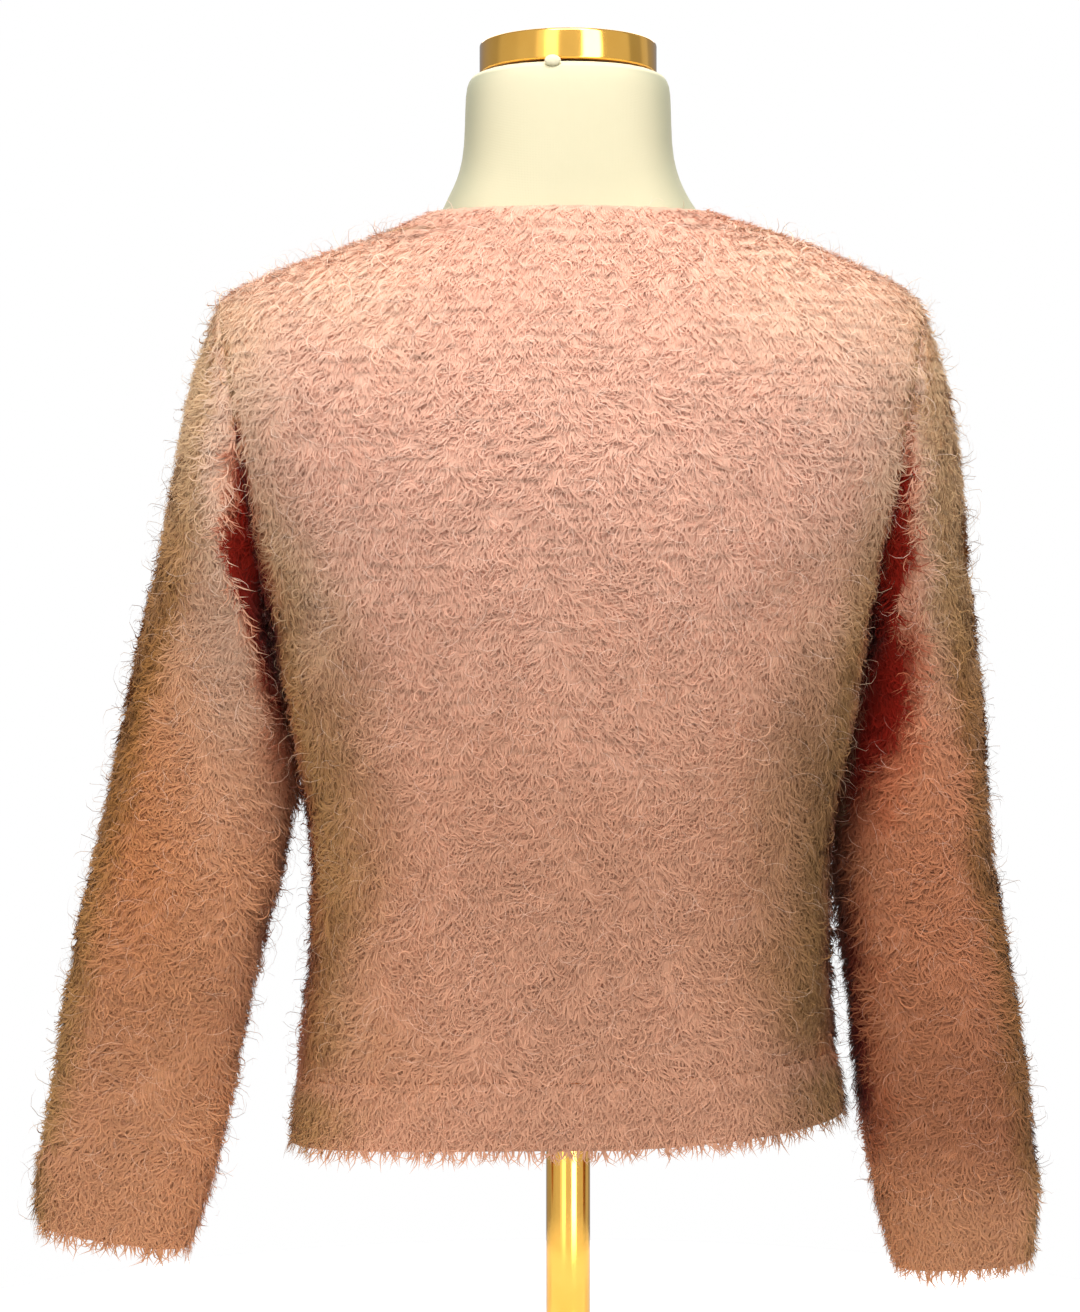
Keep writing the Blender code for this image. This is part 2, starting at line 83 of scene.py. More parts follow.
def scene_object(name, data):
    made = bpy.data.objects.new(name, data)
    bpy.context.scene.collection.objects.link(made)
    return made


def make_camera():
    data = bpy.data.cameras.new("photo_camera")
    data.sensor_width = SENSOR
    data.lens = SENSOR / 2 / math.tan(PHOTO_HEIGHT_ANGLE / 2)
    camera = scene_object("photo_camera", data)
    camera.location = CAMERA_PLACE
    camera.rotation_euler = (math.radians(90), 0, 0)
    bpy.context.scene.camera = camera
    return camera


camera = make_camera()
print("lens in millimetres:", round(camera.data.lens, 1))

# %% [markdown]
# ## Wiring helpers
# Materials and Geometry Nodes are both node trees. A `Wire` is what leaves one socket of a node.
# Sums and products of wires add the Math nodes that work them out, so that a tree reads like
# arithmetic. `add` makes a node and feeds its sockets with values or wires, and `wire` gives one of
# the new node's outputs.

# %% Helpers for node trees
class Wire:
    def __init__(self, socket):
        self.socket, self.tree = socket, socket.id_data

    def __add__(self, other):
        return calc("ADD", self, other)

    def __sub__(self, other):
        return calc("SUBTRACT", self, other)

    def __rsub__(self, other):
        return calc("SUBTRACT", other, self)

    def __mul__(self, other):
        return calc("MULTIPLY", self, other)

    def __truediv__(self, other):
        return calc("DIVIDE", self, other)

    def fade(self, low, high, most=1.0):
        """0 up to low, the most from high, smooth between."""
        feeds = {"Value": self, "From Min": low, "From Max": high}
        share = wire(self.tree, "ShaderNodeMapRange", 0, feeds, interpolation_type="SMOOTHSTEP")
        return share if most == 1.0 else share * most


def feed(node, feeds):
    """Feeds a node's inputs, each by name or by number."""
    for key, value in feeds.items():
        if isinstance(value, Wire):
            node.id_data.links.new(value.socket, node.inputs[key])
        else:
            node.inputs[key].default_value = value


def add(tree, kind, feeds=None, **settings):
    """Adds a node with its settings, then feeds it."""
    node = tree.nodes.new(kind)
    for name, value in settings.items():
        setattr(node, name, value)
    feed(node, feeds or {})
    return node


def wire(tree, kind, output, feeds=None, **settings):
    return Wire(add(tree, kind, feeds, **settings).outputs[output])


def wires(node):
    return {socket.name: Wire(socket) for socket in node.outputs}


def tree_of(*values):
    return next(value.tree for value in values if isinstance(value, Wire))


def calc(operation, a, b=0.0, clamp=False):
    return wire(tree_of(a, b), "ShaderNodeMath", 0, {0: a, 1: b}, operation=operation, use_clamp=clamp)


def vector(operation, a, b=(0.0, 0.0, 0.0)):
    output = "Value" if operation == "DOT_PRODUCT" else "Vector"
    return wire(tree_of(a, b), "ShaderNodeVectorMath", output, {0: a, 1: b}, operation=operation)


def scaled(a, by):
    return wire(tree_of(a, by), "ShaderNodeVectorMath", "Vector", {0: a, "Scale": by}, operation="SCALE")


def xyz(place):
    return list(wires(add(place.tree, "ShaderNodeSeparateXYZ", {0: place})).values())


def noise(place, scale, detail, distortion=0.0):
    feeds = {"Vector": place, "Scale": scale, "Detail": detail, "Distortion": distortion}
    return wire(place.tree, "ShaderNodeTexNoise", 0, feeds)


def mixed(share, a, b, mode="MIX"):
    """The colour a, with this share of the colour b."""
    return wire(share.tree, "ShaderNodeMix", 2, {0: share, 6: a, 7: b}, data_type="RGBA", blend_type=mode)


def bump(height, strength, distance):
    feeds = {"Height": height, "Strength": strength, "Distance": distance}
    return wire(height.tree, "ShaderNodeBump", 0, feeds)


def new_group(name, kind, inputs, outputs):
    """An empty node group, its inputs and its end. Each input has a default, or a type where it can't."""
    tree = bpy.data.node_groups.new(name, kind)
    for label, value in inputs.items():
        socket = {float: "Float", int: "Int", tuple: "Vector"}.get(type(value), value)
        if socket == "Vector" and len(value) == 4:
            socket = "Color"
        made = tree.interface.new_socket(label, in_out="INPUT", socket_type="NodeSocket" + socket)
        if value != socket:
            made.default_value = value
    for label, socket in outputs.items():
        tree.interface.new_socket(label, in_out="OUTPUT", socket_type="NodeSocket" + socket)
    return tree, wires(tree.nodes.new("NodeGroupInput")), tree.nodes.new("NodeGroupOutput")


# %% [markdown]
# ## The pullover's own shape
# Each CAD piece of the pullover is a closed wall 7 mm thick: 3 mm of knitted ground and 4 mm of dense
# pile. The outer skin of each piece is found by walking over its faces until an edge turns sharply
# into the wall's rim. The triangles are joined back to quads, and the four main pieces are welded
# into one surface, so that Catmull-Clark subdivision rounds them together and no seam opens.

# %% Take the outer skins
MM = 0.001
FULL_TURN = 2 * math.pi
SAME_POINT = 0.01 * MM
SEAM_GAP = 0.5 * MM
MAIN = ("front", "back", "sleeve_right", "sleeve_left")
RIBS = ("hem_rib", "cuff_right", "cuff_left", "neckband")
# the turn in degrees where a skin ends and its rim begins
SHARP_TURN = {**dict.fromkeys(MAIN, 52), **dict.fromkeys(RIBS, 46), "neckband": 36}


def merged_copy(node):
    """A CAD node's mesh as a bmesh, with its loose triangles merged."""
    shape = bmesh.new()
    shape.from_mesh(frame["nodes"][node].data)
    bmesh.ops.remove_doubles(shape, verts=shape.verts, dist=SAME_POINT)
    return shape


def outer_skin(shape, sharp_turn):
    """Keeps only the largest region of faces that no sharp edge crosses."""
    shape.normal_update()
    left, regions = set(shape.faces), []
    while left:
        region, edge_of_it = set(), [left.pop()]
        while edge_of_it:
            face = edge_of_it.pop()
            region.add(face)
            for edge in face.edges:
                for other in edge.link_faces:
                    if other in left and face.normal.angle(other.normal) < math.radians(sharp_turn):
                        left.discard(other)
                        edge_of_it.append(other)
        regions.append(region)
    keep = max(regions, key=lambda region: sum(f.calc_area() for f in region))
    bmesh.ops.delete(shape, geom=[f for f in shape.faces if f not in keep], context="FACES")


def boundary_loops(shape):
    """The open ends of a skin, as sets of points, longest first."""
    edges = {e for e in shape.edges if e.is_boundary}
    loops = []
    while edges:
        first = edges.pop()
        loop, ends, length = set(first.verts), list(first.verts), first.calc_length()
        while ends:
            for edge in ends.pop().link_edges:
                if edge in edges:
                    edges.discard(edge)
                    length += edge.calc_length()
                    ends += [v for v in edge.verts if v not in loop]
                    loop.update(edge.verts)
        loops.append((length, loop))
    return [loop for _, loop in sorted(loops, key=lambda pair: -pair[0])]


def outer_tube(shape):
    """At the shoulder no sharp edge parts a sleeve's skins, and its wall is one tube, over the armhole and
    back inside. Walking from both ends at once, the walks meet at the rim."""
    owner = {v: number for number, loop in enumerate(boundary_loops(shape)) for v in loop}
    newest = list(owner)
    while newest:
        reached = []
        for v in newest:
            for edge in v.link_edges:
                other = edge.other_vert(v)
                if other not in owner:
                    owner[other] = owner[v]
                    reached.append(other)
        newest = reached
    bmesh.ops.delete(shape, geom=[v for v in shape.verts if owner[v] != 0], context="VERTS")


def join_quads(shape, faces):
    bmesh.ops.join_triangles(shape, faces=faces, angle_face_threshold=math.pi, angle_shape_threshold=math.pi)


def skin_of(node):
    shape = merged_copy(node)
    outer_skin(shape, SHARP_TURN[node])
    if node.startswith("sleeve"):
        outer_tube(shape)
    join_quads(shape, shape.faces)
    return shape


def as_mesh(shape, name):
    """A plain mesh of a bmesh, which is freed."""
    mesh = bpy.data.meshes.new(name)
    shape.to_mesh(mesh)
    shape.free()
    return mesh


def evaluated(holder):
    """The object's mesh with its modifiers applied, as a plain mesh. The object goes."""
    result = bpy.data.meshes.new_from_object(holder.evaluated_get(bpy.context.evaluated_depsgraph_get()))
    bpy.data.objects.remove(holder)
    return result


def weld(nodes, distance):
    """One surface of several skins. The material index says which skin a face came from."""
    together = bmesh.new()
    for number, node in enumerate(nodes):
        skin = skin_of(node)
        made = {v: together.verts.new(v.co) for v in skin.verts}
        for face in skin.faces:
            together.faces.new([made[v] for v in face.verts]).material_index = number
        skin.free()
    bmesh.ops.remove_doubles(together, verts=together.verts, dist=distance)
    return as_mesh(together, "_".join(nodes))


def subdivided(mesh):
    """The mesh after one step of Catmull-Clark subdivision."""
    holder = scene_object("holder", mesh)
    smooth = holder.modifiers.new("smooth", "SUBSURF")
    smooth.levels = smooth.render_levels = 1
    return evaluated(holder)


skins = {node: subdivided(weld([node], SAME_POINT)) for node in RIBS}
main_skin = subdivided(weld(MAIN, SEAM_GAP))
print("faces of the welded main skin:", len(main_skin.polygons))
print("faces of the ribs:", {node: len(mesh.polygons) for node, mesh in skins.items()})

# %% [markdown]
# ## Knitted ground
# The ground is the knit that the hairs grow out of. It lies 3.4 mm under the CAD surface and is 3 mm
# thick. Walls made from the shared normals of the welded surface meet exactly at the seams, so the
# wall is built by hand: an outer layer, an inner layer and a rim. Knit has rows. Each point is given
# the height of its row, and a map in metres: round the cloth and along it. Pile and stitches follow it.

# %% Say where a point lies on the cloth
SLEEVE_AXIS = {"right": Vector((0.162, 0.0, 0.987)), "left": Vector((-0.085, 0.0, 0.996))}
SLEEVE_MIDDLE = {"right": Vector((-0.225, 0.0, 0.35)), "left": Vector((0.215, 0.0, 0.35))}
OUTWARD = {"right": -1, "left": 1}
HEM_TILT = 0.055
HALF_BODY = 0.16
# turns become metres with these middle radii
ROUND_BODY, ROUND_SLEEVE = 0.15, 0.055
CALM_RIB, CALM_NECK = 0.75, 0.85


def smoothstep(at, low, high):
    t = min(max((at - low) / (high - low), 0.0), 1.0)
    return t * t * (3 - 2 * t)


def side_of(part):
    """right or left for sleeves and cuffs, nothing for the pieces round the body."""
    return next((side for side in OUTWARD if part.endswith(side)), None)


def place_on_cloth(part, p):
    """(round the cloth, along the cloth) in metres."""
    side = side_of(part)
    if side:
        away = p - SLEEVE_MIDDLE[side]
        return math.atan2(away.y, away.x * OUTWARD[side]) * ROUND_SLEEVE, p.dot(SLEEVE_AXIS[side])
    tilt = HEM_TILT * p.x * abs(p.x) / HALF_BODY * (1 - smoothstep(p.z, 0.2, 0.4))
    face = 1 if part == "back" else -1
    return math.atan2(p.x, face * p.y) * ROUND_BODY, p.z - tilt


def calm_share(part, p):
    """1 where the hairs hang straight down, as near the neck and on the ribs; 0 where they swirl."""
    return CALM_RIB if part in RIBS else CALM_NECK * smoothstep(p.z, 0.57, 0.63)


# %% Build the wall of one piece
GROUND_DEPTH = 3.4 * MM
PRESSED_DEPTH = 0.8 * MM
GROUND_THICKNESS = 3 * MM


def depth_of_ground(p):
    """How far the ground lies under the pile. Where a sleeve presses on the body's side, the pile is flat."""
    in_fold = smoothstep(p.z, 0.33, 0.37) * (1 - smoothstep(p.z, 0.45, 0.49))
    in_fold *= smoothstep(abs(p.x), 0.135, 0.15) * (1 - smoothstep(abs(p.x), 0.18, 0.195))
    return GROUND_DEPTH + (PRESSED_DEPTH - GROUND_DEPTH) * in_fold


def cloth_wall(part, mesh, number=0):
    """A closed wall under the faces with this material index, and its map."""
    faces = [tuple(f.vertices) for f in mesh.polygons if f.material_index == number]
    used = sorted({i for face in faces for i in face})
    new_index = {old: new for new, old in enumerate(used)}
    count = len(used)
    points = [mesh.vertices[i] for i in used]
    outer = [v.co - v.normal * depth_of_ground(v.co) for v in points]
    inner = [p - v.normal * GROUND_THICKNESS for v, p in zip(points, outer)]
    walls = [tuple(new_index[i] for i in face) for face in faces]
    sides = {}
    for face in walls:
        for a, b in zip(face, face[1:] + face[:1]):
            sides[a, b] = sides.get((a, b), 0) + 1
    rim = [(b, a, a + count, b + count) for a, b in sides if (b, a) not in sides]
    walls += [tuple(i + count for i in reversed(face)) for face in walls]
    made = bpy.data.meshes.new("ground_" + part)
    made.from_pydata(outer + inner, [], walls + rim)
    made.shade_smooth()
    map_cloth(made, part)
    return scene_object("ground_" + part, made)


def map_cloth(mesh, part):
    """Stores the map in metres, the row heights and the calm share. A face across the map's seam is unrolled."""
    places = [place_on_cloth(part, v.co) for v in mesh.vertices]
    once_round = FULL_TURN * (ROUND_SLEEVE if side_of(part) else ROUND_BODY)
    layer = mesh.uv_layers.new(name="knit")
    for face in mesh.polygons:
        first = places[face.vertices[0]][0]
        for corner, vertex in zip(face.loop_indices, face.vertices):
            u, v = places[vertex]
            u -= round((u - first) / once_round) * once_round
            layer.uv[corner].vector = (u, v)
    rows = mesh.attributes.new("row_height", "FLOAT", "POINT")
    rows.data.foreach_set("value", [v for _, v in places])
    calm = mesh.attributes.new("calm", "FLOAT", "POINT")
    calm.data.foreach_set("value", [calm_share(part, v.co) for v in mesh.vertices])


ground = {part: cloth_wall(part, main_skin, number) for number, part in enumerate(MAIN)}
for part, skin in skins.items():
    ground[part] = cloth_wall(part, skin)

# %% [markdown]
# Light that falls into a fold is thrown from hair to hair, and each bounce gives back the red. That is
# why the hollows under the arms glow deep red; here that shade and red glow are painted into the
# colour. Each point of the ground is told how shut in it is: the share of directions that other cloth
# blocks, which sets its painted fold shade. On the sleeves a table of heights also says where the
# painted glow begins, as the photograph shows it. Each point is told how far it faces away from the
# body's middle, because those sides get a painted browner shade, and how near other cloth is straight
# ahead, because there the hairs of both tangle.

# %% Measure how shut in each point is
FOLD_REACH = 0.07
FOLD_START = 6 * MM
TANGLE_REACH = 7 * MM
TANGLE_START = 4 * MM
FAN = 28
GOLDEN_ANGLE = 2.399963
# sleeves get more painted brown shade than the body at the same slant
SLEEVE_TURN = 0.15
# for each sleeve, at some heights, how far towards the body the cloth must face to get painted red fold shade
HOLLOWS = {
    "sleeve_right": ((0.32, 1.5), (0.35, 0.85), (0.40, 0.62), (0.445, 0.5), (0.475, 0.1), (0.6, 0.1)),
    "sleeve_left": (
        (0.12, 1.3), (0.17, 0.58), (0.32, 0.54), (0.345, 0.28), (0.38, -0.1), (0.42, -0.35), (0.6, -0.35)
    ),
}


def in_hollow(part, p, inward, blocked):
    """How much painted fold shade a point gets: by the directions blocked, and on a sleeve also by facing the
    body.
    """
    # the painted glow ends below the shoulder and is weak behind the arms
    lit = (1 - smoothstep(p.z, 0.535, 0.575)) * (1 - 0.65 * smoothstep(p.y, -0.012, 0.015))
    if part in RIBS:
        return blocked * lit * 0.3
    if part not in HOLLOWS:
        under_right_arm = 0.6 + 0.4 * smoothstep(p.z, 0.44, 0.47) * smoothstep(-p.x, 0.1, 0.13)
        return blocked * lit * under_right_arm
    start = HOLLOWS[part][0][1]
    for (low, before), (high, after) in zip(HOLLOWS[part], HOLLOWS[part][1:]):
        start += (after - before) * min(max((p.z - low) / (high - low), 0.0), 1.0)
    shut_in = blocked * smoothstep(inward, start - 0.2, start + 0.7)
    faces_body = 0.6 * smoothstep(inward, start - 0.45, start + 0.9)
    return max(shut_in, faces_body) * lit


def directions(count):
    """Directions over a half sphere about +Z, on a golden spiral, closer near its middle."""
    made = []
    for i in range(count):
        height = math.sqrt(1 - (i + 0.5) / count)
        turn = i * GOLDEN_ANGLE
        flat = math.sqrt(1 - height * height)
        made.append(Vector((flat * math.cos(turn), flat * math.sin(turn), height)))
    return made


def measure_folds(meshes):
    points, faces = [], []
    for mesh in meshes:
        start = len(points)
        points += [v.co.copy() for v in mesh.vertices]
        faces += [tuple(start + i for i in f.vertices) for f in mesh.polygons]
    cloth = BVHTree.FromPolygons(points, faces)
    fan = directions(FAN)
    for part, piece in ground.items():
        count = len(piece.data.vertices)
        shut, turned, tangle = [0.0] * count, [0.0] * count, [0.0] * count
        for i, v in enumerate(piece.data.vertices[:count // 2]):
            to_normal = Vector((0, 0, 1)).rotation_difference(v.normal)
            start = v.co + v.normal * FOLD_START
            hits = sum(cloth.ray_cast(start, to_normal @ way, FOLD_REACH)[0] is not None for way in fan)
            outward = v.normal.x * (1 if v.co.x > 0 else -1)
            # fold: the painted fold shade; turned: the slant that sets the painted brown shade of the sides
            shut[i] = in_hollow(part, v.co, -outward, hits / len(fan))
            turned[i] = outward + (SLEEVE_TURN if part in HOLLOWS else 0.0)
            facing, near = cloth.ray_cast(v.co + v.normal * TANGLE_START, v.normal, TANGLE_REACH)[1::2]
            if near is not None and facing.dot(v.normal) < -0.3:
                tangle[i] = 1 - smoothstep(near, 0.2 * TANGLE_REACH, TANGLE_REACH)
        for name, values in (("fold", shut), ("turned", turned), ("tangle", tangle)):
            piece.data.attributes.new(name, "FLOAT", "POINT").data.foreach_set("value", values)


def told(part, name):
    return [item.value for item in ground[part].data.attributes[name].data]


def area_of_cloth(piece):
    """Half of a closed wall's surface, in square metres."""
    return sum(f.area for f in piece.data.polygons) / 2


measure_folds([main_skin] + list(skins.values()))
print("most shut in:", {part: round(max(told(part, "fold")), 2) for part in ground})
print("points that tangle:", {part: sum(near > 0.3 for near in told(part, "tangle")) for part in ground})
print("cloth areas:", {part: round(area_of_cloth(piece), 4) for part, piece in ground.items()})

# %% [markdown]
# ## Hairs
# The yarn carries long hairs that curl. A single tuft is three flat tapered ribbons about 1 mm wide
# that rise from one stitch and bend over. Real fibres are finer, but at the photograph's scale
# neighbouring fibres stick together into strokes of this width. The strays are single hairs in two
# kinds: thin wisps that stand off and make the soft edge, and broader curls that lie on top. The
# value "along" runs from 0 to 1 along a hair of a tuft, from 1 to 2 along a curl and from 2 to 3
# along a wisp, and the tint makes those paler.

# %% Draw one hair
def hair(shape, along, root, heading, length, bend, rise, width, steps, paler):
    """A tapered ribbon. It starts at root, leaves at the angle heading, turns by bend, rises and lies over."""
    points, here, angle = [], Vector(root), heading
    for i in range(steps + 1):
        t = i / steps
        lift = rise * math.sin(min(t * 1.25, 1.0) * math.pi * 0.62)
        points.append((Vector((here.x, here.y, root[2] + lift)), angle, t))
        angle = heading + bend * (t + 0.5 / steps)
        here += Vector((math.cos(angle), math.sin(angle), 0)) * length / steps
    rails = []
    for point, angle, t in points[:-1]:
        half = width / 2 * (1 - 0.55 * t)
        sideways = Vector((-math.sin(angle), math.cos(angle), 0)) * half
        pair = [shape.verts.new(point + sideways), shape.verts.new(point - sideways)]
        for v in pair:
            v[along] = t + paler
        rails.append(pair)
    tip = shape.verts.new(points[-1][0])
    tip[along] = 1.0 + paler
    for (a, b), (c, d) in zip(rails, rails[1:]):
        shape.faces.new((b, d, c, a))
    shape.faces.new((rails[-1][1], tip, rails[-1][0]))


def tuft(name, seed, count, length, bend, rise, width, steps, spread, paler):
    """A few hairs from one stitch, as a mesh object."""
    pick = random.Random(seed)
    shape = bmesh.new()
    along = shape.verts.layers.float.new("along")
    for _ in range(count):
        root = (pick.uniform(-spread, spread), pick.uniform(-spread, spread), 0.0)
        turn = pick.uniform(*bend) * pick.choice((-1, 1))
        heading, reach, lift = pick.uniform(-0.55, 0.55), pick.uniform(*length), pick.uniform(*rise)
        hair(shape, along, root, heading, reach, turn, lift, width, steps, paler)
    mesh = as_mesh(shape, name)
    mesh.shade_smooth()
    return bpy.data.objects.new(name, mesh)


# copies, first seed, hairs, length, bend, rise, width, steps, spread, and what is added to "along"
KINDS = {
    "tuft": (8, 40, 3, (8 * MM, 14 * MM), (0.3, 1.6), (0.8 * MM, 2.1 * MM), 0.9 * MM, 2, 2.2 * MM, 0.0),
    "wisp": (10, 90, 1, (12 * MM, 23 * MM), (0.8, 3.2), (5 * MM, 10.5 * MM), 0.3 * MM, 4, 0.2 * MM, 2.0),
    "curl": (4, 190, 1, (10 * MM, 16 * MM), (1.6, 3.6), (2.6 * MM, 3.8 * MM), 0.85 * MM, 5, 0.2 * MM, 1.0),
}
tufts = bpy.data.collections.new("tufts")
strays = bpy.data.collections.new("stray_hairs")
for kind, (copies, seed, *sizes) in KINDS.items():
    group = tufts if kind == "tuft" else strays
    for number in range(copies):
        group.objects.link(tuft(f"{kind}_{number}", seed + number, *sizes))

# %% [markdown]
# ## Growing the pile
# Geometry Nodes lay the tufts. Points are scattered over the ground and pulled to the nearest row of
# stitches, so that a thin dark line is left between two rows. Each tuft points down the cloth, then it
# is turned by a slow noise, which makes the swirls, and by a little chance of its own. Near the neck
# and on the ribs the swirl is calm. Where other cloth is near, the tufts are longer.

# %% Build the tree that grows the pile
STITCH, ROW = 5 * MM, 6.6 * MM


def pile_tree():
    inputs = {
        "Geometry": "Geometry",
        "Tufts": "Collection",
        "Strays": "Collection",
        "Finish": "Material",
        "Cloth Up": (0.0, 0.0, 1.0),
        "Tufts per Square Metre": 50000.0,
        "Strays per Square Metre": 3000.0,
        "Row Height": ROW,
        "Row Pull": 0.55,
        "Swirl Size": 0.033,
        "Swirl Turn": 2.1,
        "Own Turn": 0.5,
        "Hair Size": 1.0,
        "Stray Size": 1.0,
        "Seed": 1,
    }
    tree, given, result = new_group("Fluffy pile", "GeometryNodeTree", inputs, {"Geometry": "Geometry"})
    tree.is_modifier = True

    def scatter(density, seed):
        feeds = {"Mesh": given["Geometry"], "Density": density, "Seed": seed}
        made = wires(add(tree, "GeometryNodeDistributePointsOnFaces", feeds))
        return made["Points"], made["Normal"]

    def chance(low, high, seed):
        """A random number for each point."""
        feeds = {2: low, 3: high, "Seed": seed}
        return wire(tree, "FunctionNodeRandomValue", 1, feeds, data_type="FLOAT")

    def named(name):
        return wire(tree, "GeometryNodeInputNamedAttribute", "Attribute", {"Name": name}, data_type="FLOAT")

    def store(geometry, name, value, kind, domain):
        feeds = {"Geometry": geometry, "Name": name, "Value": value}
        return wire(tree, "GeometryNodeStoreNamedAttribute", 0, feeds, data_type=kind, domain=domain)

    def down_the_cloth(normal):
        """The direction in the surface, down the cloth."""
        over = vector("DOT_PRODUCT", given["Cloth Up"], normal)
        return vector("SUBTRACT", scaled(normal, over), given["Cloth Up"])

    def place(points, collection, normal, turn, lean, size, seed):
        """Copies of the collection's meshes, lying down the cloth and turned about the normal."""
        feeds = {0: normal, 1: down_the_cloth(normal)}
        facing = wire(tree, "FunctionNodeAxesToRotation", 0, feeds, primary_axis="Z", secondary_axis="X")
        for axis, angle in (((0, 0, 1), turn), ((0, 1, 0), lean)):
            by = wire(tree, "FunctionNodeAxisAngleToRotation", 0, {"Axis": axis, "Angle": angle})
            facing = wire(tree, "FunctionNodeRotateRotation", 0, {0: facing, 1: by}, rotation_space="LOCAL")
        feeds = {"Collection": collection, "Separate Children": True, "Reset Children": True}
        shapes = wire(tree, "GeometryNodeCollectionInfo", 0, feeds)
        pick = wire(tree, "FunctionNodeRandomValue", 2, {4: 0, 5: 63, "Seed": seed}, data_type="INT")
        feeds = {"Points": points, "Instance": shapes, "Pick Instance": True, "Instance Index": pick}
        feeds.update({"Rotation": facing, "Scale": size})
        return wire(tree, "GeometryNodeInstanceOnPoints", 0, feeds)

    # tufts, pulled to their rows
    points, normal = scatter(given["Tufts per Square Metre"], given["Seed"])
    where = wire(tree, "GeometryNodeInputPosition", 0)
    height = named("row_height") + (noise(where, 22.0, 1.0) - 0.5) * (8 * MM)
    row = height / given["Row Height"]
    past = row - calc("ROUND", row)
    shift = scaled(down_the_cloth(normal), past * given["Row Height"] * given["Row Pull"])
    in_rows = wire(tree, "GeometryNodeSetPosition", 0, {"Geometry": points, "Offset": shift})

    swirl = (noise(where, calc("DIVIDE", 1.0, given["Swirl Size"]), 1.5, 0.4) - 0.5) * 3.2
    turn = swirl * given["Swirl Turn"] * (1.0 - named("calm")) + chance(-1.0, 1.0, 11) * given["Own Turn"]
    size = chance(0.75, 1.2, 12) * given["Hair Size"] * (1.0 - named("calm") * 0.2)
    size = size * (named("tangle") * 0.9 + 1.0)
    laid = place(in_rows, given["Tufts"], normal, turn, chance(-0.25, 0.1, 13), size, 14)

    # stray hairs, any way they like
    thin, loose_normal = scatter(given["Strays per Square Metre"], given["Seed"] + 100)
    any_turn, lean = chance(-3.1, 3.1, 21), chance(-0.45, 0.05, 23)
    loose_size = chance(0.7, 1.15, 22) * given["Stray Size"]
    loose = place(thin, given["Strays"], loose_normal, any_turn, lean, loose_size, 24)

    # each hair remembers its cloth's normal, a chance number and its row height
    both = add(tree, "GeometryNodeJoinGeometry")
    for hairs, facing in ((laid, normal), (loose, loose_normal)):
        feed(both, {0: store(hairs, "cloth_normal", facing, "FLOAT_VECTOR", "INSTANCE")})
    shaded = store(Wire(both.outputs[0]), "shade", chance(0.0, 1.0, 31), "FLOAT", "INSTANCE")
    real = wire(tree, "GeometryNodeRealizeInstances", 0, {"Geometry": shaded})
    own_height = vector("DOT_PRODUCT", given["Cloth Up"], wire(tree, "GeometryNodeInputPosition", 0))
    real = store(real, "row_height", own_height, "FLOAT", "POINT")
    done = wire(tree, "GeometryNodeSetMaterial", 0, {"Geometry": real, "Material": given["Finish"]})
    feed(result, {"Geometry": done})
    return tree


pile = pile_tree()
print("inputs of the pile tree:", [item.name for item in pile.interface.items_tree if item.in_out == "INPUT"])
